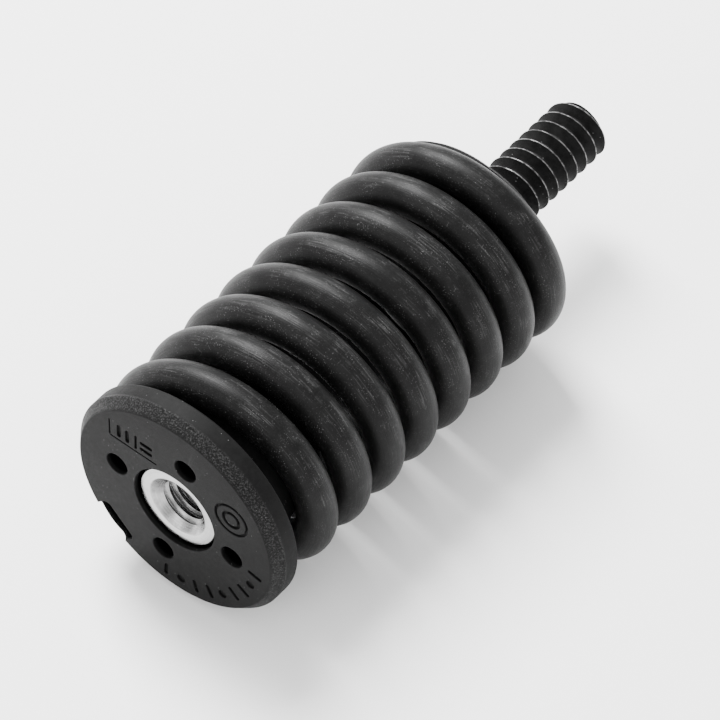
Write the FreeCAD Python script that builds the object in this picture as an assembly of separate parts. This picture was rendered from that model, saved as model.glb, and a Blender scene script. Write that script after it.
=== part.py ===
import FreeCAD, Part
import math
import os

# Anti-vibration spring mount, in millimetres.
# The axis runs along +Y. The origin is the centre of the insert plug's end face,
# the plug's flange and the coil spring lie behind it, and the stud points to +Y.
# Angles round the axis are turned from +Z towards +X, as the spring is wound.

Vector = FreeCAD.Vector

# Insert plug
FLANGE_R = 11.0
FLANGE_THICK = 2.65
BEVEL_WIDE = 0.8
BEVEL_LONG = 1.0
BOSS_R = 7.2
BOSS_STRAIGHT = 4.0
BOSS_NOSE_R = 6.0
BOSS_NOSE_ROUND = 0.8
BOSS_END = 12.2
FACE_RECESS_R = 4.25

CORE_HOLES = 4
CORE_HOLE_R = 1.1
CORE_PCD = 12.5
CORE_DEPTH = 2.1
CORE_FIRST_DEG = 13.25

NOTCH_DEG = 225.8
NOTCH_WIDE = 4.1
NOTCH_CORNER_R = 0.7
NOTCH_INNER = 8.5
NOTCH_DEPTH = 2.1
NOTCH_LIP = 0.35

# Threaded insert, M5 x 0.8
INSERT_R = 4.0
INSERT_SET_BACK = 0.43
INSERT_LONG = 10.0
INSERT_THREAD_R = 2.1
COUNTERSINK_R = 2.9
GRIP_BAND_LONG = 2.4
GRIP_GROOVE_LONG = 0.9
GRIP_GROOVE_R = 3.4
GRIP_SIDES = 12

# Coil spring
WIRE_R = 1.75
COIL_R = 9.15
COIL_PITCH = 4.48
COIL_TURNS = 7.85
COIL_START_DEG = 215.0
SEAT_GAP = 0.05

# Stud plug
STUD_PLUG_FRONT = 32.0
RIM_R = 9.6
RIM_FRONT = 38.0
RIM_BACK = 39.85
SHOULDER_R = 6.6
SHOULDER = 42.0
SEAT_TURNS = 1.15

# Threaded stud, with a hexagonal head moulded into the plug
STUD_R = 3.05
STUD_NECK_R = 2.7
STUD_TIP = 56.3
STUD_CHAMFER = 0.6
HEAD_FLATS = 9.0
HEAD_LONG = 4.0
HEAD_FRONT = 34.4


def revolved(outline):
    """A solid turned about the Y axis from (radius, y) corners."""
    corners = [Vector(r, y, 0) for r, y in outline]
    wire = Part.makePolygon(corners + corners[:1])
    return Part.Face(wire).revolve(Vector(0, 0, 0), Vector(0, 1, 0), 360)


def rod(radius, y_from, y_to):
    """A round rod on the axis."""
    return Part.makeCylinder(radius, y_to - y_from, Vector(0, y_from, 0), Vector(0, 1, 0))


def around(radius, degrees, y):
    """The point at a radius and an angle, from +Z towards +X."""
    turn = math.radians(degrees)
    return Vector(radius * math.sin(turn), y, radius * math.cos(turn))


def prism(sides, corner_r, y_from, y_to):
    """A regular prism along the axis."""
    corners = [around(corner_r, 360.0 * i / sides, y_from) for i in range(sides)]
    face = Part.Face(Part.makePolygon(corners + corners[:1]))
    return face.extrude(Vector(0, y_to - y_from, 0))


def coil(radius, turns_from, turns_to):
    """A round wire along the spring's helix, between two counts of turns from its start."""
    long = (turns_to - turns_from) * COIL_PITCH
    path = Part.makeHelix(COIL_PITCH, long, COIL_R)
    section = Part.Wire(Part.Circle(Vector(COIL_R, 0, 0), Vector(0, 1, 0), radius).toShape())
    sweep = Part.BRepOffsetAPI.MakePipeShell(Part.Wire(path))
    sweep.setFrenetMode(True)
    sweep.add(section, False, True)
    sweep.build()
    sweep.makeSolid()
    wire = sweep.shape()
    # the helix is made about +Z from +X: lay its axis along +Y, with its start at +Z
    wire.rotate(Vector(0, 0, 0), Vector(1, 0, 0), -90)
    wire.rotate(Vector(0, 0, 0), Vector(0, 1, 0), COIL_START_DEG - 90 + 360 * turns_from)
    start_y = FLANGE_THICK + SEAT_GAP + WIRE_R
    wire.translate(Vector(0, start_y + turns_from * COIL_PITCH, 0))
    return wire


def insert_outline():
    """The insert's outside, as a solid with no bore: two bands with a groove between."""
    back = INSERT_SET_BACK + INSERT_LONG
    first_groove = INSERT_SET_BACK + GRIP_BAND_LONG
    second_groove = back - GRIP_BAND_LONG - GRIP_GROOVE_LONG
    grip_from = first_groove + GRIP_GROOVE_LONG
    body = rod(INSERT_R, INSERT_SET_BACK, first_groove)
    body = body.fuse(rod(GRIP_GROOVE_R, first_groove, grip_from))
    body = body.fuse(prism(GRIP_SIDES, INSERT_R, grip_from, second_groove))
    body = body.fuse(rod(GRIP_GROOVE_R, second_groove, second_groove + GRIP_GROOVE_LONG))
    body = body.fuse(rod(INSERT_R, second_groove + GRIP_GROOVE_LONG, back))
    return body.removeSplitter()


def threaded_insert():
    """Steel insert with its bore at the thread's minor size and a countersunk mouth."""
    back = INSERT_SET_BACK + INSERT_LONG
    sink = COUNTERSINK_R - INSERT_THREAD_R
    bore = rod(INSERT_THREAD_R, INSERT_SET_BACK, back)
    mouth = Part.makeCone(
        COUNTERSINK_R, INSERT_THREAD_R, sink, Vector(0, INSERT_SET_BACK, 0), Vector(0, 1, 0)
    )
    return insert_outline().cut(bore.fuse(mouth))


def side_notch():
    """The rounded pocket behind the rim, which leaves a thin lip under the bevel."""
    long = FLANGE_R - NOTCH_LIP - NOTCH_INNER
    pocket = Part.makeBox(NOTCH_WIDE, NOTCH_DEPTH, long, Vector(-NOTCH_WIDE / 2, 0, NOTCH_INNER))
    upright = [e for e in pocket.Edges if abs(e.tangentAt(e.FirstParameter).y) > 0.9]
    inner = [e for e in upright if e.CenterOfMass.z < NOTCH_INNER + NOTCH_LIP]
    pocket = pocket.makeFillet(NOTCH_CORNER_R, inner)
    pocket.rotate(Vector(0, 0, 0), Vector(0, 1, 0), NOTCH_DEG)
    return pocket


def insert_plug():
    """Bevelled flange and boss, with the insert's seat, core holes and side notch."""
    straight_end = FLANGE_THICK + BOSS_STRAIGHT
    body = revolved(
        [
            (0, 0),
            (FLANGE_R - BEVEL_WIDE, 0),
            (FLANGE_R, BEVEL_LONG),
            (FLANGE_R, FLANGE_THICK),
            (BOSS_R, FLANGE_THICK),
            (BOSS_R, straight_end),
            (BOSS_NOSE_R, BOSS_END - BOSS_NOSE_ROUND),
            (BOSS_NOSE_R - BOSS_NOSE_ROUND, BOSS_END),
            (0, BOSS_END),
        ]
    )
    body = body.cut(rod(FACE_RECESS_R, 0, INSERT_SET_BACK))
    body = body.cut(insert_outline())
    for i in range(CORE_HOLES):
        centre = around(CORE_PCD / 2, CORE_FIRST_DEG + 360.0 * i / CORE_HOLES, 0)
        body = body.cut(Part.makeCylinder(CORE_HOLE_R, CORE_DEPTH, centre, Vector(0, 1, 0)))
    return body.cut(side_notch())


def coil_spring():
    """The whole wire."""
    return coil(WIRE_R, 0, COIL_TURNS)


def threaded_stud():
    """Stud at its thread's outer size, with a neck and a hexagonal head inside the plug."""
    shank = revolved(
        [
            (0, HEAD_FRONT),
            (STUD_NECK_R, HEAD_FRONT),
            (STUD_NECK_R, SHOULDER),
            (STUD_R, SHOULDER),
            (STUD_R, STUD_TIP - STUD_CHAMFER),
            (STUD_R - STUD_CHAMFER, STUD_TIP),
            (0, STUD_TIP),
        ]
    )
    head = prism(6, HEAD_FLATS / math.sqrt(3), HEAD_FRONT, HEAD_FRONT + HEAD_LONG)
    return shank.fuse(head).removeSplitter()


def stud_plug(stud):
    """Boss and coned rim, with the groove that the spring's last turn is screwed into."""
    body = revolved(
        [
            (0, STUD_PLUG_FRONT),
            (BOSS_NOSE_R, STUD_PLUG_FRONT),
            (BOSS_R, STUD_PLUG_FRONT + BOSS_NOSE_ROUND),
            (BOSS_R, RIM_FRONT),
            (RIM_R, RIM_FRONT),
            (RIM_R, RIM_BACK),
            (SHOULDER_R, SHOULDER),
            (0, SHOULDER),
        ]
    )
    end_gap = SEAT_GAP / (2 * math.pi * COIL_R)
    groove = coil(WIRE_R + SEAT_GAP, COIL_TURNS - SEAT_TURNS, COIL_TURNS + end_gap)
    return body.cut(stud).cut(groove)


def main():
    os.makedirs("parts", exist_ok=True)
    stud = threaded_stud()
    shapes = {
        "insert_plug": insert_plug(),
        "threaded_insert": threaded_insert(),
        "coil_spring": coil_spring(),
        "stud_plug": stud_plug(stud),
        "threaded_stud": stud,
    }
    for name, shape in shapes.items():
        solids = shape.Solids
        assert len(solids) == 1 and solids[0].isValid(), name
        print(name, round(solids[0].Volume, 1), "mm3", solids[0].BoundBox)
        solids[0].exportStep(os.path.join("parts", name + ".step"))


main()
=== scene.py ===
import math

import bmesh
import bpy
import numpy as np
from mathutils import Matrix, Vector


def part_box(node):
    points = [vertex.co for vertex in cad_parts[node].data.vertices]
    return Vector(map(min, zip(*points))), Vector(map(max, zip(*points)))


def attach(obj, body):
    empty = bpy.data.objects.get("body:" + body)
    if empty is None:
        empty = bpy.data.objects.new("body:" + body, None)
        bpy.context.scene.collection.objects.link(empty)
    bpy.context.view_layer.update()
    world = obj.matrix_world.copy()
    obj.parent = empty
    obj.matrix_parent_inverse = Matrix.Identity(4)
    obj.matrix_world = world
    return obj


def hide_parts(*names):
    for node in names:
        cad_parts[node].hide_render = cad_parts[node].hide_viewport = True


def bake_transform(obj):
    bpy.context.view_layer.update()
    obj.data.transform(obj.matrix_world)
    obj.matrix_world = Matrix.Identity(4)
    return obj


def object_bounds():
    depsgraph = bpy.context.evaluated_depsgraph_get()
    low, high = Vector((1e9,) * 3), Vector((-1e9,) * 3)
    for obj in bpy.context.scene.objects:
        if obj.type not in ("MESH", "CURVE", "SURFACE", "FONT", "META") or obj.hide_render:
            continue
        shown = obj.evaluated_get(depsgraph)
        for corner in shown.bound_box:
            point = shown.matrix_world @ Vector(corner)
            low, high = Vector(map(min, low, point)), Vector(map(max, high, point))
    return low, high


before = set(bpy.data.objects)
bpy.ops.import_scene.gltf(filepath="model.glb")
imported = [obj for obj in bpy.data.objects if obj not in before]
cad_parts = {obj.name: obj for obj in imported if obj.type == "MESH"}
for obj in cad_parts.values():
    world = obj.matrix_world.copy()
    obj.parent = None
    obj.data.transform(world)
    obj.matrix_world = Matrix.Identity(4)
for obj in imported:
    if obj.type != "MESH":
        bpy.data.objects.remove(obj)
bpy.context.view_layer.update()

# Everything below is in metres, in the frame of the CAD model: the axis runs along +Y from the
# insert plug's end face at y = 0. Angles round the axis turn from +Z towards +X.
MM = 0.001
TAU = 2 * math.pi
ROUNDING = 0.12 * MM

_, plug_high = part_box("insert_plug")
_, coil_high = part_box("coil_spring")
rear_low, rear_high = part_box("stud_plug")
_, stud_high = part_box("threaded_stud")
insert_low, insert_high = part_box("threaded_insert")

# Insert plug
FLANGE_R = plug_high.x
FLANGE_THICK = 2.65 * MM
FACE_R = FLANGE_R - 0.8 * MM
BEVEL_LONG = 1.0 * MM
BOSS_R = 7.2 * MM
BOSS_STRAIGHT = 4.0 * MM
NOSE_R = 6.0 * MM
NOSE_END_R = 5.2 * MM
NOSE_LONG = 0.4 * MM
RECESS_R = 4.25 * MM
RECESS_FLOOR = 0.62 * MM
INSERT_GAP = 0.02 * MM
HOLES = 4
HOLE_CIRCLE_R = 6.25 * MM
HOLE_R = 1.1 * MM
HOLE_DEEP = 2.1 * MM
HOLE_FIRST = math.radians(13.25)
NOTCH_AT = math.radians(225.8)
NOTCH_WIDE = 4.1 * MM
NOTCH_INNER = 8.5 * MM
NOTCH_LIP = 0.35 * MM
NOTCH_DEEP = 2.1 * MM
NOTCH_CORNER_R = 0.62 * MM

# Plain marks sunk into the end face
MARK_DEEP = 0.22 * MM
RING_MARK_DEEP = 0.25 * MM
CUTTER_TOP = -0.6 * MM

# Coil spring
WIRE_R = 1.75 * MM
SEAT_GAP = 0.05 * MM
COIL_R = coil_high.x - WIRE_R
COIL_PITCH = 4.48 * MM
COIL_TURNS = 7.85
COIL_START = math.radians(215.0)
COIL_START_Y = FLANGE_THICK + SEAT_GAP + WIRE_R
UNDERSIDE = math.radians(208.0)
UNDERSIDE_LEAN = 0.42 * MM
FIRST_TURN_SAG = 0.16 * MM
MIDDLE_TURNS = 3.9

# Stud plug
RIM_R = 9.6 * MM
RIM_FRONT = 38.0 * MM
RIM_BACK = 39.85 * MM
SHOULDER_R = 6.6 * MM
SHOULDER = rear_high.y
REAR_NOSE_LONG = 0.8 * MM
STUD_BORE_R = 2.75 * MM
STUD_BORE_FLOOR = 38.2 * MM

# Threads
STUD_R = 3.05 * MM
STUD_PITCH = 1.4 * MM
STUD_ROOT_R = 2.25 * MM
STUD_CREST = 0.10 * MM
STUD_NECK_R = 2.7 * MM
STUD_FRONT = 38.3 * MM
STUD_CHAMFER = 0.6 * MM
STUD_TIP = stud_high.y
INSERT_R = 4.0 * MM
INSERT_FACE = insert_low.y
INSERT_BACK = insert_high.y
INSERT_BORE_R = 2.1 * MM
INSERT_PITCH = 0.8 * MM
INSERT_MAJOR_R = 2.5 * MM
INSERT_CREST = 0.14 * MM
COUNTERSINK_R = 2.9 * MM


# ---------------------------------------------------------------- mesh helpers


def around(radius, turn, y):
    """A point at a radius and an angle round the axis."""
    return Vector((radius * math.sin(turn), y, radius * math.cos(turn)))


def mesh_object(name, vertices, faces):
    mesh = bpy.data.meshes.new(name)
    mesh.from_pydata([tuple(v) for v in vertices], [], faces)
    mesh.validate()
    obj = bpy.data.objects.new(name, mesh)
    bpy.context.scene.collection.objects.link(obj)
    return obj


def outward(obj):
    """Makes every face of a closed mesh look outwards."""
    work = bmesh.new()
    work.from_mesh(obj.data)
    bmesh.ops.remove_doubles(work, verts=work.verts, dist=1e-7)
    bmesh.ops.recalc_face_normals(work, faces=work.faces)
    work.to_mesh(obj.data)
    work.free()
    return obj


def rings_to_faces(rings, count, closed=True):
    """Quads between neighbouring rings of `count` points each."""
    faces = []
    for k in range(rings - 1):
        for i in range(count if closed else count - 1):
            j = (i + 1) % count
            faces.append((k * count + i, k * count + j, (k + 1) * count + j, (k + 1) * count + i))
    return faces


def lathe(name, outline, steps):
    """A closed solid turned about the Y axis from (radius, y) corners; it starts and ends on the axis."""
    inner = outline[1:-1]
    vertices = [around(r, TAU * i / steps, y) for r, y in inner for i in range(steps)]
    faces = rings_to_faces(len(inner), steps)
    for (_, y), ring in ((outline[0], 0), (outline[-1], len(inner) - 1)):
        vertices.append((0, y, 0))
        hub = len(vertices) - 1
        faces += [(hub, ring * steps + i, ring * steps + (i + 1) % steps) for i in range(steps)]
    return outward(mesh_object(name, vertices, faces))


def rounded(outline, steps=4):
    """The same outline with marked corners rounded. A corner is (r, y) or (r, y, share of ROUNDING)."""
    points = []
    for i, corner in enumerate(outline):
        here = Vector(corner[:2])
        size = ROUNDING * (corner[2] if len(corner) > 2 else 0)
        if size <= 0 or i in (0, len(outline) - 1):
            points.append(tuple(here))
            continue
        before = (Vector(outline[i - 1][:2]) - here).normalized()
        after = (Vector(outline[i + 1][:2]) - here).normalized()
        half = before.angle(after) / 2
        reach = size / math.tan(half)
        centre = here + (before + after).normalized() * size / math.sin(half)
        first = here + before * reach - centre
        last = here + after * reach - centre
        for k in range(steps + 1):
            points.append(tuple(centre + first.slerp(last, k / steps) * size))
    return points


def prism_loops(name, loops):
    """A closed solid through loops of equal length, each a list of 3-D points, capped at both ends."""
    count = len(loops[0])
    vertices = [p for loop in loops for p in loop]
    faces = rings_to_faces(len(loops), count)
    faces.append(tuple(range(count)))
    faces.append(tuple(range((len(loops) - 1) * count, len(loops) * count)))
    return outward(mesh_object(name, vertices, faces))


def boolean(obj, tool):
    """Cuts a tool solid away, and removes it. The work is done a thousand times larger, as small faces
    are filled more truly at that size."""
    for mesh in (obj.data, tool.data):
        mesh.transform(Matrix.Scale(1 / MM, 4))
    modifier = obj.modifiers.new("boolean", "BOOLEAN")
    modifier.operation = "DIFFERENCE"
    modifier.solver = "EXACT"
    modifier.object = tool
    bpy.context.view_layer.update()
    evaluated = obj.evaluated_get(bpy.context.evaluated_depsgraph_get())
    mesh = bpy.data.meshes.new_from_object(evaluated)
    obj.modifiers.clear()
    obj.data = mesh
    bpy.data.objects.remove(tool)
    work = bmesh.new()
    work.from_mesh(mesh)
    bmesh.ops.remove_doubles(work, verts=work.verts, dist=1e-4)
    bmesh.ops.triangulate(work, faces=[f for f in work.faces if len(f.verts) > 4])
    work.to_mesh(mesh)
    work.free()
    mesh.transform(Matrix.Scale(MM, 4))
    return obj


def smooth(obj, degrees):
    """Smooth shading that breaks at real corners."""
    obj.data.shade_smooth()
    obj.data.set_sharp_from_angle(angle=math.radians(degrees))
    return obj


# ---------------------------------------------------------------- coil spring


def ease(value, low, high):
    """0 below low, 1 above high, and a smooth step between."""
    share = min(1.0, max(0.0, (value - low) / (high - low)))
    return share * share * (3 - 2 * share)


def coil_point(turns):
    """The wire's centre line. The first turn lies a little closer to the flange than the even pitch,
    and the middle turns lean a little towards the stud on the underside."""
    angle = COIL_START + TAU * turns
    sag = FIRST_TURN_SAG * math.exp(-(((turns - 0.2) / 0.25) ** 2))
    underside = max(0.0, math.cos(angle - UNDERSIDE)) ** 2
    lean = UNDERSIDE_LEAN * underside * ease(turns, 0.6, 1.6) * (1 - ease(turns, 6.0, 7.0))
    return around(COIL_R, angle, COIL_START_Y + COIL_PITCH * turns - sag + lean)


def wire_frame(turns):
    """Centre, tangent, outward and sideways directions of the wire."""
    step = 1e-4
    centre = coil_point(turns)
    tangent = (coil_point(turns + step) - coil_point(turns - step)).normalized()
    outwards = Vector((centre.x, 0, centre.z)).normalized()
    outwards = (outwards - tangent * outwards.dot(tangent)).normalized()
    return centre, tangent, outwards, tangent.cross(outwards)


def wire_tube(name, turns_from, turns_to, caps):
    """A stretch of the wire as a tube mesh. caps says which ends are closed, with a small chamfer."""
    around_steps = 56
    steps_per_turn = 176
    count = int(round((turns_to - turns_from) * steps_per_turn))
    stations = [(turns_from + (turns_to - turns_from) * k / count, 1.0) for k in range(count + 1)]
    chamfer = ROUNDING
    chamfer_turns = chamfer / (TAU * COIL_R)
    shrink = 1 - chamfer / WIRE_R
    if caps[0]:
        stations = [(turns_from, shrink), (turns_from + chamfer_turns, 1.0)] + stations[1:]
    if caps[1]:
        stations = stations[:-1] + [(turns_to - chamfer_turns, 1.0), (turns_to, shrink)]
    vertices, lengths, sides = [], [], []
    for turns, share in stations:
        centre, _, outwards, sideways = wire_frame(turns)
        for i in range(around_steps):
            a = TAU * i / around_steps
            vertices.append(centre + (outwards * math.cos(a) + sideways * math.sin(a)) * WIRE_R * share)
            lengths.append(turns * TAU * COIL_R)
            sides.append(a)
    faces = rings_to_faces(len(stations), around_steps)
    if caps[0]:
        faces.append(tuple(range(around_steps)))
    if caps[1]:
        faces.append(tuple(range((len(stations) - 1) * around_steps, len(stations) * around_steps)))
    obj = mesh_object(name, vertices, faces)
    # wire coordinates that travel with the mesh when the spring is flexed: along the wire,
    # and a cosine and sine of the angle round it, 1 and 0 on the outermost line
    data = obj.data.attributes.new("wire", "FLOAT_VECTOR", "POINT")
    values = np.zeros((len(vertices), 3), np.float32)
    values[:, 0] = np.array(lengths) / MM
    values[:, 1] = np.cos(sides)
    values[:, 2] = np.sin(sides)
    data.data.foreach_set("vector", values.ravel())
    rest = obj.data.attributes.new("rest", "FLOAT_VECTOR", "POINT")
    rest.data.foreach_set("vector", (np.array([tuple(v) for v in vertices], np.float32) / MM).ravel())
    work = bmesh.new()
    work.from_mesh(obj.data)
    bmesh.ops.recalc_face_normals(work, faces=work.faces)
    middle = work.faces[len(work.faces) // 2]
    centre = coil_point((turns_from + turns_to) / 2)
    if middle.normal.dot(middle.calc_center_median() - centre) < 0:
        bmesh.ops.reverse_faces(work, faces=work.faces)
    work.to_mesh(obj.data)
    work.free()
    return smooth(obj, 50)


# ---------------------------------------------------------------- engraved and cut shapes on the end face


def face_point(u, v, y):
    """A point on the end face: u to the right and v up, as seen from in front."""
    return Vector((u, y, v))


def bar_outline(centre, angle, long, wide, grow, steps=8):
    """A bar with round ends, as a closed 2-D loop."""
    half = long / 2 - wide / 2
    radius = wide / 2 + grow
    ends = []
    for side in (0, 1):
        for k in range(steps + 1):
            a = math.pi * (k / steps - 0.5) + math.pi * side
            shift = half if side == 0 else -half
            ends.append((shift + radius * math.cos(a), radius * math.sin(a)))
    c, s = math.cos(angle), math.sin(angle)
    return [(centre[0] + x * c - y * s, centre[1] + x * s + y * c) for x, y in ends]


def circle_outline(centre, radius, steps):
    """A circle, as a closed 2-D loop."""
    return [
        (centre[0] + radius * math.cos(TAU * k / steps), centre[1] + radius * math.sin(TAU * k / steps))
        for k in range(steps)
    ]


def box_outline(centre_z, half_wide, half_high, corner, grow, steps=6):
    """A rounded rectangle about (0, centre_z), as a closed 2-D loop."""
    reach = corner + grow
    loop = []
    for cx, cz, start in ((1, 1, 0), (-1, 1, 1), (-1, -1, 2), (1, -1, 3)):
        for k in range(steps + 1):
            a = math.pi / 2 * (start + k / steps)
            x = cx * (half_wide - corner) + reach * math.cos(a)
            z = centre_z + cz * (half_high - corner) + reach * math.sin(a)
            loop.append((x, z))
    return loop


def cutter(name, outline, painted_bore_shade, edge, floor_edge=0.05 * MM, steps=4):
    """A solid that sinks a shape into the end face, with a rounded rim and a rounded floor corner.
    outline(grow) gives the 2-D loop, larger by grow."""
    loops = [[face_point(u, v, CUTTER_TOP) for u, v in outline(edge)]]
    for k in range(steps + 1):
        a = math.pi / 2 * k / steps
        grow, y = edge * (1 - math.sin(a)), edge * (1 - math.cos(a))
        loops.append([face_point(u, v, y) for u, v in outline(grow)])
    for k in range(steps + 1):
        a = math.pi / 2 * k / steps
        grow, y = floor_edge * (math.cos(a) - 1), painted_bore_shade - floor_edge * (1 - math.sin(a))
        loops.append([face_point(u, v, y) for u, v in outline(grow)])
    return prism_loops(name, loops)


def mark_cutter(name, outline):
    """A shallow mark with small roundings."""
    return cutter(name, outline, MARK_DEEP, 0.05 * MM, 0.04 * MM, 3)


def ring_cutter(name, centre, outer, inner):
    """A ring-shaped groove in the end face, as one closed solid."""
    painted_bore_shade = RING_MARK_DEEP
    steps = 72
    mid, half = (outer + inner) / 2, (outer - inner) / 2
    edge = 0.05 * MM
    section = [
        (half + edge, CUTTER_TOP),
        (half + edge, 0.0),
        (half + 0.3 * edge, 0.3 * edge),
        (half, edge),
        (half - 0.02 * MM, painted_bore_shade - 0.04 * MM),
        (half - 0.06 * MM, painted_bore_shade),
    ]
    section = section + [(-x, y) for x, y in reversed(section)]
    vertices = []
    for i in range(steps):
        a = TAU * i / steps
        for x, y in section:
            r = mid + x
            vertices.append(face_point(centre[0] + r * math.cos(a), centre[1] + r * math.sin(a), y))
    count = len(section)
    faces = []
    for i in range(steps):
        j = (i + 1) % steps
        for k in range(count):
            m = (k + 1) % count
            faces.append((i * count + k, i * count + m, j * count + m, j * count + k))
    return outward(mesh_object(name, vertices, faces))


def turned(loop_function, turn):
    """The same outline turned about the axis, from +Z towards +X."""
    c, s = math.cos(turn), math.sin(turn)
    return lambda grow: [(x * c + z * s, -x * s + z * c) for x, z in loop_function(grow)]


def face_marks():
    """Plain mould marks: bars in a frame, two rings, and an arc of bars and pips."""
    tools = []

    def bar(name, centre, angle, long, wide):
        tools.append(mark_cutter(name, lambda g: bar_outline(centre, angle, long, wide, g)))

    # two frame lines and five bars near the top left: place, angle in degrees, length and width
    lean = math.radians(-3)
    c, s = math.cos(lean), math.sin(lean)
    origin = (-4.1 * MM, 5.75 * MM)

    def placed(u, v):
        return (origin[0] + (u * c - v * s) * MM, origin[1] + (u * s + v * c) * MM)

    for i, (u, v, angle, long, wide) in enumerate(
        (
            (-2.55, 0.0, 92, 1.9, 0.13),
            (0.0, -1.02, 0, 5.0, 0.13),
            (-1.55, 0.12, 90, 1.5, 0.4),
            (-0.65, 0.12, 90, 1.5, 0.4),
            (0.25, 0.12, 90, 1.7, 0.22),
            (1.35, 0.47, 0, 1.3, 0.36),
            (1.35, -0.27, 0, 1.3, 0.36),
        )
    ):
        bar("frame_mark_%d" % i, placed(u, v), lean + math.radians(angle), long * MM, wide * MM)

    # two rings, one inside the other, on the right
    ring_at = (6.2 * MM, 3.5 * MM)
    tools.append(ring_cutter("ring_mark", ring_at, 1.75 * MM, 1.5 * MM))
    tools.append(ring_cutter("ring_mark_inner", ring_at, 0.95 * MM, 0.65 * MM))

    # an arc of bars along the lower edge, with a pip in the middle of each three
    radius = 8.75 * MM
    pip_r = 0.42 * MM
    for i in range(9):
        turn = math.radians(188 - 10.6 * i)
        centre = (radius * math.sin(turn), radius * math.cos(turn))
        upright = math.atan2(centre[1], centre[0])
        if i % 3 == 1:
            tools.append(mark_cutter("pip_%d" % i, lambda g, p=centre: circle_outline(p, pip_r + g, 28)))
        else:
            bar("tick_%d" % i, centre, upright, 1.45 * MM, 0.38 * MM)
    return tools


def insert_plug():
    """Flange with a grainy bevel, hollow seat for the insert, core holes, notch and marks, and the boss."""
    seat_r = INSERT_R + INSERT_GAP
    seat_floor = INSERT_BACK + INSERT_GAP
    plug = lathe(
        "insert_plug_moulding",
        rounded(
            [
                (0, seat_floor),
                (seat_r, seat_floor),
                (seat_r, RECESS_FLOOR),
                (RECESS_R, RECESS_FLOOR),
                (RECESS_R, 0, 0.7),
                (FACE_R, 0, 1.5),
                (FLANGE_R, BEVEL_LONG, 2.0),
                (FLANGE_R, FLANGE_THICK, 1.4),
                (BOSS_R, FLANGE_THICK, 2.0),
                (BOSS_R, FLANGE_THICK + BOSS_STRAIGHT, 2.0),
                (NOSE_R, plug_high.y - NOSE_LONG, 3.0),
                (NOSE_END_R, plug_high.y, 1.5),
                (0, plug_high.y),
            ]
        ),
        steps=216,
    )
    # the notch: a pocket behind the rim, which leaves a thin lip under the bevel
    half_high = (FLANGE_R - NOTCH_LIP - NOTCH_INNER) / 2
    notch_z = NOTCH_INNER + half_high
    pocket = turned(lambda g: box_outline(notch_z, NOTCH_WIDE / 2, half_high, NOTCH_CORNER_R, g), NOTCH_AT)
    plug = boolean(plug, cutter("notch_pocket", pocket, NOTCH_DEEP, 0.06 * MM))
    tools = face_marks()
    for i in range(HOLES):
        p = around(HOLE_CIRCLE_R, HOLE_FIRST + TAU * i / HOLES, 0)
        hole = lambda g, p=p: circle_outline((p.x, p.z), HOLE_R + g, 56)
        tools.append(cutter("core_%d" % i, hole, HOLE_DEEP, 0.09 * MM))
    for tool in tools:
        plug = boolean(plug, tool)
    return smooth(plug, 10)


# ---------------------------------------------------------------- threads


def thread_cutter(name, pitch, crest_r, root_r, crest_wide, y_from, y_to, run_in):
    """A groove swept along a right-handed helix. It cuts a stud when the root is inside the crest, and a
    bore when it is outside. It deepens over the first run_in turns."""
    steps = 64
    turns = (y_to - y_from) / pitch
    count = int(turns * steps)
    reach = 0.5 * MM
    depth_sign = 1 if root_r > crest_r else -1
    vertices = []
    half_open = (pitch - crest_wide) / 2
    for k in range(count + 1):
        t = k / steps
        angle = TAU * t
        y = y_from + pitch * t
        share = max(0.02, min(1.0, t / run_in if run_in else 1.0))
        depth = abs(crest_r - root_r) * share
        root = crest_r + depth_sign * depth
        back = crest_r - depth_sign * reach
        # the groove's section, from its mouth to its rounded root
        open_half = half_open * (0.25 + 0.75 * share)
        section = [
            (back, open_half),
            (crest_r, open_half),
            (root - depth_sign * 0.12 * depth, open_half * 0.30),
            (root, open_half * 0.12),
            (root, -open_half * 0.12),
            (root - depth_sign * 0.12 * depth, -open_half * 0.30),
            (crest_r, -open_half),
            (back, -open_half),
        ]
        for r, dy in section:
            vertices.append(around(r, angle, y + dy))
    size = 8
    faces = rings_to_faces(count + 1, size)
    faces.append(tuple(range(size)))
    faces.append(tuple(range(count * size, (count + 1) * size)))
    return outward(mesh_object(name, vertices, faces))


def threaded_stud():
    """Coarse black stud: narrow flat crests, wide sloped flanks and a thread that runs out over the tip."""
    body = lathe(
        "stud_body",
        rounded(
            [
                (0, STUD_FRONT),
                (STUD_NECK_R, STUD_FRONT),
                (STUD_NECK_R, SHOULDER - 0.02 * MM),
                (STUD_R, SHOULDER + 0.06 * MM),
                (STUD_R, STUD_TIP - STUD_CHAMFER, 3.0),
                (STUD_R - STUD_CHAMFER, STUD_TIP, 2.5),
                (0, STUD_TIP),
            ]
        ),
        steps=160,
    )
    tool = thread_cutter(
        "stud_groove",
        STUD_PITCH,
        STUD_R,
        STUD_ROOT_R,
        STUD_CREST,
        SHOULDER + 0.1 * MM,
        STUD_TIP + STUD_PITCH,
        run_in=0.3,
    )
    stud = boolean(body, tool)
    stud.name = "stud_thread"
    return smooth(stud, 24)


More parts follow.
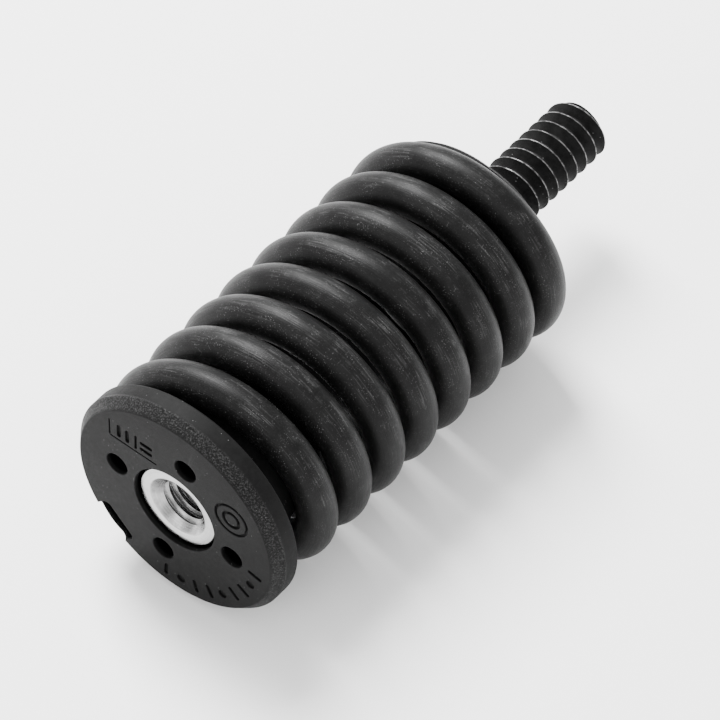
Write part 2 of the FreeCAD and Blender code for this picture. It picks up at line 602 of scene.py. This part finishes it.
def insert_thread():
    """Bright turned insert with a countersunk mouth and a right-handed internal thread."""
    sink = COUNTERSINK_R - INSERT_BORE_R
    mouth_r = COUNTERSINK_R + 0.12 * MM
    edge = INSERT_FACE + 0.06 * MM
    spare = 0.5 * MM
    body = lathe(
        "insert_body",
        rounded(
            [
                (0, INSERT_FACE),
                (INSERT_R, INSERT_FACE, 1.2),
                (INSERT_R, INSERT_BACK, 1.2),
                (0, INSERT_BACK),
            ]
        ),
        steps=160,
    )
    bore = lathe(
        "insert_bore",
        [
            (0, INSERT_FACE - spare),
            (mouth_r, INSERT_FACE - spare),
            (mouth_r, INSERT_FACE),
            (COUNTERSINK_R, edge),
            (INSERT_BORE_R, edge + sink),
            (INSERT_BORE_R, INSERT_BACK + spare),
            (0, INSERT_BACK + spare),
        ],
        steps=160,
    )
    insert = boolean(body, bore)
    tool = thread_cutter(
        "insert_groove",
        INSERT_PITCH,
        INSERT_BORE_R,
        INSERT_MAJOR_R,
        INSERT_CREST,
        INSERT_FACE - 0.3 * MM,
        INSERT_BACK + 0.2 * MM,
        run_in=0,
    )
    insert = boolean(insert, tool)
    insert.name = "insert_turned"
    return smooth(insert, 30)


def rim_section(turn):
    """Radius and height pairs of the coned rim at one angle, less the groove for the last turn of wire."""
    behind = (COIL_START + TAU * COIL_TURNS - turn) % TAU
    wire_y = coil_point(COIL_TURNS - behind / TAU).y
    clear = WIRE_R + SEAT_GAP
    slope = (SHOULDER - RIM_BACK) / (RIM_R - SHOULDER_R)
    soft = 0.15 * MM

    def front(r):
        inside = clear**2 - (r - COIL_R) ** 2
        return max(RIM_FRONT, wire_y + math.sqrt(inside)) if inside > 0 else RIM_FRONT

    def back(r):
        cone = SHOULDER - slope * (r - SHOULDER_R)
        corner = max(0.0, (r - RIM_R + soft) / soft) ** 2 * 0.1 * MM
        return cone - corner

    reach = RIM_R
    while reach > BOSS_R + 0.1 * MM and front(reach) > back(reach):
        reach -= 0.01 * MM
    points = []
    for k in range(25):
        r = BOSS_R + (reach - BOSS_R) * k / 24
        points.append((r, min(front(r), back(r))))
    low, high = points[-1][1], back(reach)
    points += [(reach, low + (high - low) * k / 4) for k in range(1, 5)]
    for k in range(1, 13):
        r = reach + (SHOULDER_R + 0.12 * MM - reach) * k / 12
        points.append((r, back(r)))
    points.append((SHOULDER_R, SHOULDER - 0.03 * MM))
    points.append((SHOULDER_R - 0.15 * MM, SHOULDER))
    return points


def stud_plug():
    """Boss and coned rim of the other plug, with the helical seat for the spring's last turn."""
    nose = rounded(
        [
            (0, rear_low.y),
            (NOSE_R, rear_low.y, 1.5),
            (BOSS_R, rear_low.y + REAR_NOSE_LONG, 1.5),
            (BOSS_R, RIM_FRONT),
        ]
    )[1:-1]
    bore = [(STUD_BORE_R, SHOULDER), (STUD_BORE_R, STUD_BORE_FLOOR)]
    end_turn = COIL_START + TAU * COIL_TURNS
    steps = 240
    # the last station lies just short of the first, so that the groove ends in a wall
    stations = [end_turn - TAU * k / steps for k in range(steps)] + [end_turn - TAU * 0.9999]
    vertices = []
    for turn in stations:
        section = nose + rim_section(turn) + bore
        vertices += [around(r, turn, y) for r, y in section]
    count = len(section)
    faces = []
    for k in range(len(stations)):
        m = (k + 1) % len(stations)
        for i in range(count - 1):
            faces.append((k * count + i, k * count + i + 1, m * count + i + 1, m * count + i))
    vertices += [Vector((0, rear_low.y, 0)), Vector((0, STUD_BORE_FLOOR, 0))]
    front_hub, bore_hub = len(vertices) - 2, len(vertices) - 1
    for k in range(len(stations)):
        m = (k + 1) % len(stations)
        faces.append((front_hub, k * count, m * count))
        faces.append((bore_hub, k * count + count - 1, m * count + count - 1))
    plug = outward(mesh_object("stud_plug_moulding", vertices, faces))
    return smooth(plug, 30)


# ---------------------------------------------------------------- materials


class Nodes:
    """A short way to write a node tree."""

    def __init__(self, name):
        self.material = bpy.data.materials.new(name)
        self.material.use_nodes = True
        self.tree = self.material.node_tree
        self.shader = self.tree.nodes["Principled BSDF"]

    def add(self, kind, inputs=None, **settings):
        node = self.tree.nodes.new(kind)
        for key, value in settings.items():
            setattr(node, key, value)
        for key, value in (inputs or {}).items():
            self.plug(value, node.inputs[key])
        return node

    def plug(self, value, socket):
        if isinstance(value, bpy.types.NodeSocket):
            self.tree.links.new(value, socket)
        else:
            socket.default_value = value

    def math(self, operation, a, b=0.0):
        node = self.add("ShaderNodeMath", {0: a, 1: b}, operation=operation)
        return node.outputs[0]

    def noise(self, vector, scale, detail, rough=0.5):
        inputs = {"Vector": vector, "Scale": scale, "Detail": detail, "Roughness": rough}
        return self.add("ShaderNodeTexNoise", inputs).outputs["Fac"]

    def specks(self, vector, scale, size, core, rare, always, smoothed=True):
        """Round specks. A cell has none if its random value is below rare, and a full one above always."""
        cells = self.add("ShaderNodeTexVoronoi", {"Vector": vector, "Scale": scale})
        seed = self.add("ShaderNodeSeparateColor", {0: cells.outputs["Color"]})
        disc = self.span(cells.outputs["Distance"], size, core)
        return self.math("MULTIPLY", disc, self.span(seed.outputs[0], rare, always, smoothed=smoothed))

    def span(self, value, low, high, to_low=0.0, to_high=1.0, smoothed=True):
        node = self.add(
            "ShaderNodeMapRange",
            {"Value": value, "From Min": low, "From Max": high, "To Min": to_low, "To Max": to_high},
            interpolation_type="SMOOTHSTEP" if smoothed else "LINEAR",
        )
        return node.outputs["Result"]

    def mix(self, share, a, b):
        node = self.add("ShaderNodeMix", data_type="RGBA")
        self.plug(share, node.inputs[0])
        self.plug(a, node.inputs[6])
        self.plug(b, node.inputs[7])
        return node.outputs[2]

    def scaled(self, vector, x, y, z):
        node = self.add("ShaderNodeVectorMath", {0: vector, 1: (x, y, z)}, operation="MULTIPLY")
        return node.outputs[0]

    def bump(self, height, strength, distance):
        node = self.add("ShaderNodeBump", {"Height": height, "Strength": strength, "Distance": distance})
        return node.outputs["Normal"]

    def out(self, **sockets):
        for key, value in sockets.items():
            self.plug(value, self.shader.inputs[key.replace("_", " ")])
        return self.material


def object_mm(n):
    """Object coordinates in millimetres, and the radius from the axis and the height along it."""
    raw = n.add("ShaderNodeTexCoord").outputs["Object"]
    place = n.scaled(raw, 1 / MM, 1 / MM, 1 / MM)
    parts = n.add("ShaderNodeSeparateXYZ", {0: place})
    squares = n.math("ADD", n.math("POWER", parts.outputs[0], 2.0), n.math("POWER", parts.outputs[2], 2.0))
    return place, n.math("SQRT", squares), parts.outputs[1]


def grey(v, warmth=0.0):
    """A linear grey, a little warm if asked."""
    return (v * (1 + warmth), v, v * (1 - warmth), 1.0)


def nylon_material():
    """Glass-filled nylon: matte and smooth on the face, spark-eroded grain on the bevel, pale flecks."""
    n = Nodes("nylon")
    place, radius, height = object_mm(n)
    bevel = n.math("MULTIPLY", n.span(radius, 10.15, 10.4), n.span(height, 1.25, 0.95))
    broad = n.noise(place, 0.55, 3.0)
    cloud = n.noise(place, 2.2, 4.0, 0.6)
    fine = n.noise(place, 16.0, 3.0, 0.65)
    grain = n.noise(place, 7.5, 2.0, 0.75)
    # glass fibres and dust that catch the light
    fleck = n.specks(place, 4.2, 0.20, 0.10, 0.93, 0.95)
    base = n.mix(n.span(broad, 0.3, 0.7), grey(0.0030), grey(0.0045))
    base = n.mix(n.span(cloud, 0.35, 0.75, 0.0, 0.55), base, grey(0.0065))
    base = n.mix(n.math("MULTIPLY", bevel, n.span(grain, 0.45, 0.70)), base, grey(0.032))
    base = n.mix(n.math("MULTIPLY", fleck, 0.8), base, grey(0.12))
    # painted shade: the recess, the holes and the notch are darkened as if in shadow, and their specular is
    # turned off: below is the depth under the face or the bevel, which starts at radius 10.2 and drops 1.25
    # for each 1 outwards
    under_bevel = n.math("MULTIPLY", n.math("MAXIMUM", n.math("SUBTRACT", radius, 10.2), 0.0), 1.25)
    below = n.math("SUBTRACT", height, under_bevel)
    painted_recess_shade = n.math("MULTIPLY", n.span(below, 0.15, 0.6), n.span(radius, 10.85, 10.75))
    painted_recess_shade = n.math("MULTIPLY", painted_recess_shade, n.span(height, 2.45, 2.25))
    base = n.mix(painted_recess_shade, base, grey(0.0006))
    shine = n.span(painted_recess_shade, 0.0, 1.0, 0.06, 0.0)
    rough = n.span(cloud, 0.2, 0.8, 0.5, 0.64)
    rough = n.math("SUBTRACT", rough, n.math("MULTIPLY", bevel, n.span(grain, 0.4, 0.8, 0.0, 0.16)))
    coarse = n.math("MULTIPLY", n.math("MULTIPLY", grain, bevel), 2.4)
    relief = n.math("ADD", n.math("MULTIPLY", fine, 0.4), coarse)
    normal = n.bump(relief, 0.55, 0.00006)
    return n.out(Base_Color=base, Roughness=rough, Normal=normal, Specular_IOR_Level=shine)


def spring_material():
    """Black coated wire: satin, dusty, with pale scuffs drawn out along the outermost line."""
    n = Nodes("spring_coating")
    wire = n.add("ShaderNodeAttribute", attribute_name="wire").outputs["Vector"]
    rest = n.add("ShaderNodeAttribute", attribute_name="rest").outputs["Vector"]
    facing = n.add("ShaderNodeSeparateXYZ", {0: wire}).outputs[1]
    # streaks: noise that is stretched along the wire
    drawn = n.scaled(wire, 0.16, 5.0, 5.0)
    streak = n.noise(drawn, 2.6, 4.0, 0.62)
    long_streak = n.noise(n.scaled(wire, 0.05, 9.0, 9.0), 2.0, 3.0, 0.55)
    cloud = n.noise(rest, 0.45, 4.0, 0.6)
    fine = n.noise(rest, 9.0, 4.0, 0.7)
    crest = n.span(facing, 0.55, 0.98)
    scuff = n.math("MULTIPLY", crest, n.span(streak, 0.48, 0.72))
    scuff = n.math("MULTIPLY", scuff, n.span(cloud, 0.4, 0.62))
    # dust: small round specks of several sizes
    dust = 0.0
    for scale, share, size in ((2.6, 0.80, 0.17), (5.2, 0.66, 0.24), (8.5, 0.62, 0.3)):
        chosen = n.specks(rest, scale, size, size * 0.45, share, share + 0.2, smoothed=False)
        dust = n.math("MAXIMUM", chosen, dust)
    dust = n.math("MULTIPLY", dust, n.span(cloud, 0.40, 0.60, 0.1, 0.55))
    base = n.mix(n.span(cloud, 0.3, 0.7), grey(0.002), grey(0.005))
    base = n.mix(n.span(fine, 0.35, 0.8, 0.0, 0.5), base, grey(0.008))
    base = n.mix(n.math("MULTIPLY", scuff, 0.55), base, grey(0.06))
    base = n.mix(dust, base, grey(0.14))
    rough = n.span(streak, 0.25, 0.75, 0.36, 0.5)
    rough = n.math("ADD", rough, n.math("MULTIPLY", dust, 0.3))
    rough = n.math("ADD", rough, n.span(fine, 0.3, 0.7, -0.03, 0.05))
    relief = n.math("ADD", n.math("MULTIPLY", fine, 0.5), n.math("MULTIPLY", long_streak, 0.6))
    normal = n.bump(relief, 0.5, 0.00005)
    return n.out(Base_Color=base, Roughness=rough, Normal=normal, Specular_IOR_Level=0.1)


def stud_material():
    """Black phosphated steel with the thread's crests rubbed bright."""
    n = Nodes("stud_phosphate")
    place, radius, _ = object_mm(n)
    cloud = n.noise(place, 1.1, 4.0, 0.6)
    fine = n.noise(place, 11.0, 4.0, 0.7)
    rub = n.noise(n.scaled(place, 1.0, 3.0, 1.0), 1.8, 4.0, 0.7)
    top = n.span(radius, 3.015, 3.045)
    worn = n.math("MULTIPLY", top, n.span(rub, 0.40, 0.62, 0.1, 1.0))
    speck = n.specks(place, 3.4, 0.2, 0.1, 0.93, 0.96)
    base = n.mix(n.span(cloud, 0.3, 0.7), grey(0.0015), grey(0.006))
    base = n.mix(n.span(fine, 0.4, 0.8, 0.0, 0.5), base, grey(0.010))
    base = n.mix(speck, base, grey(0.1))
    base = n.mix(worn, base, grey(0.16))
    rough = n.span(fine, 0.3, 0.7, 0.42, 0.6)
    rough = n.math("SUBTRACT", rough, n.math("MULTIPLY", worn, 0.15))
    metal = n.math("MULTIPLY", worn, 0.9)
    normal = n.bump(fine, 0.45, 0.00005)
    return n.out(Base_Color=base, Roughness=rough, Metallic=metal, Normal=normal, Specular_IOR_Level=0.07)


def insert_material():
    """Bright turned steel: rings left by the tool, faint stains, and a painted shade that darkens it
    towards the thread's depth.
    """
    n = Nodes("insert_steel")
    place, radius, height = object_mm(n)
    profile = n.add("ShaderNodeCombineXYZ", {0: radius, 1: height}).outputs[0]
    turned_lines = n.noise(profile, 9.0, 5.0, 0.75)
    cloud = n.noise(place, 1.3, 4.0, 0.6)
    fine = n.noise(place, 9.0, 3.0, 0.7)
    # painted shade: darker further along the axis, towards the depth of the thread
    painted_bore_shade = n.span(height, 1.2, 5.0)
    base = n.mix(n.span(turned_lines, 0.3, 0.7), grey(0.26, 0.004), grey(0.46, 0.004))
    base = n.mix(n.span(cloud, 0.4, 0.75, 0.0, 0.35), base, grey(0.3, 0.01))
    mouth = n.span(radius, 3.05, 2.8)
    base = n.mix(n.math("MULTIPLY", mouth, n.span(cloud, 0.3, 0.7, 0.45, 0.8)), base, grey(0.16))
    base = n.mix(n.math("MULTIPLY", painted_bore_shade, 0.7), base, grey(0.05))
    rough = n.span(turned_lines, 0.25, 0.75, 0.16, 0.34)
    rough = n.math("ADD", rough, n.span(cloud, 0.4, 0.8, -0.04, 0.06))
    relief = n.math("ADD", turned_lines, n.math("MULTIPLY", fine, 0.3))
    normal = n.bump(relief, 0.35, 0.00003)
    return n.out(Base_Color=base, Roughness=rough, Metallic=1.0, Normal=normal)


def floor_material():
    """Pale matte card."""
    n = Nodes("floor")
    raw = n.add("ShaderNodeTexCoord").outputs["Object"]
    cloud = n.noise(raw, 30.0, 3.0)
    base = n.mix(cloud, grey(0.86), grey(0.9))
    return n.out(Base_Color=base, Roughness=0.8)


# ---------------------------------------------------------------- camera, floor and light


def add_camera():
    """The view along the axis from in front, to the right and above, with a long lens."""
    turn, rise = math.radians(38.458), math.radians(48.981)
    back = Vector((math.sin(turn) * math.cos(rise), -math.cos(turn) * math.cos(rise), math.sin(rise)))
    camera = bpy.data.objects.new("camera", bpy.data.cameras.new("camera"))
    camera.data.sensor_width = 36.0
    camera.data.lens = 214.4
    camera.data.clip_start = 0.01
    camera.location = (0.15002, -0.16430, 0.27402)
    camera.rotation_euler = (-back).to_track_quat("-Z", "Y").to_euler()
    bpy.context.scene.collection.objects.link(camera)
    bpy.context.scene.camera = camera


def add_floor():
    """A large pale square just under the part."""
    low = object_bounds()[0]
    size = 3.0
    cells = 4
    lines = [size * (i / cells - 0.5) for i in range(cells + 1)]
    vertices = [(x, y, low[2]) for y in lines for x in lines]
    faces = rings_to_faces(cells + 1, cells + 1, closed=False)
    floor = mesh_object("floor", vertices, faces)
    floor.data.materials.append(floor_material())


def add_light(name, place, power, size, target=(0, 0.025, 0)):
    """A soft rectangle of light aimed at the middle of the part."""
    data = bpy.data.lights.new(name, "AREA")
    data.shape = "RECTANGLE"
    data.size, data.size_y = size
    data.energy = power
    obj = bpy.data.objects.new(name, data)
    obj.location = place
    obj.rotation_euler = (Vector(target) - Vector(place)).to_track_quat("-Z", "Y").to_euler()
    bpy.context.scene.collection.objects.link(obj)


def add_lights():
    """A strong key from the upper left, two weak fills and an even white surround."""
    add_light("key", (-0.22, 0.12, 0.36), 8.0, (0.16, 0.26))
    add_light("fill", (0.35, -0.25, 0.3), 1.0, (0.4, 0.4))
    add_light("front", (-0.1, -0.4, 0.2), 0.9, (0.3, 0.3))
    world = bpy.data.worlds.new("studio")
    world.use_nodes = True
    background = world.node_tree.nodes["Background"]
    background.inputs["Color"].default_value = (1, 1, 1, 1)
    background.inputs["Strength"].default_value = 1.5
    bpy.context.scene.world = world


# ---------------------------------------------------------------- putting it together


def show(obj, material, body, node):
    """Dresses a piece and the CAD node it stands for, and lets it ride on a body."""
    obj.data.materials.clear()
    obj.data.materials.append(material)
    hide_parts(node)
    if body:
        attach(obj, body)
    return obj


nylon = nylon_material()
show(insert_plug(), nylon, "insert_end", "insert_plug")
show(insert_thread(), insert_material(), "insert_end", "threaded_insert")
show(stud_plug(), nylon, "stud_end", "stud_plug")
show(threaded_stud(), stud_material(), "stud_end", "threaded_stud")

# The spring is made in two halves. They meet at half length.
coating = spring_material()
half_one = wire_tube("spring_wire_front", 0.0, MIDDLE_TURNS, caps=(True, False))
half_two = wire_tube("spring_wire_back", MIDDLE_TURNS, COIL_TURNS, caps=(False, True))
for half in (half_one, half_two):
    show(half, coating, None, "coil_spring")
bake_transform(half_one)
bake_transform(half_two)

add_camera()
add_floor()
add_lights()
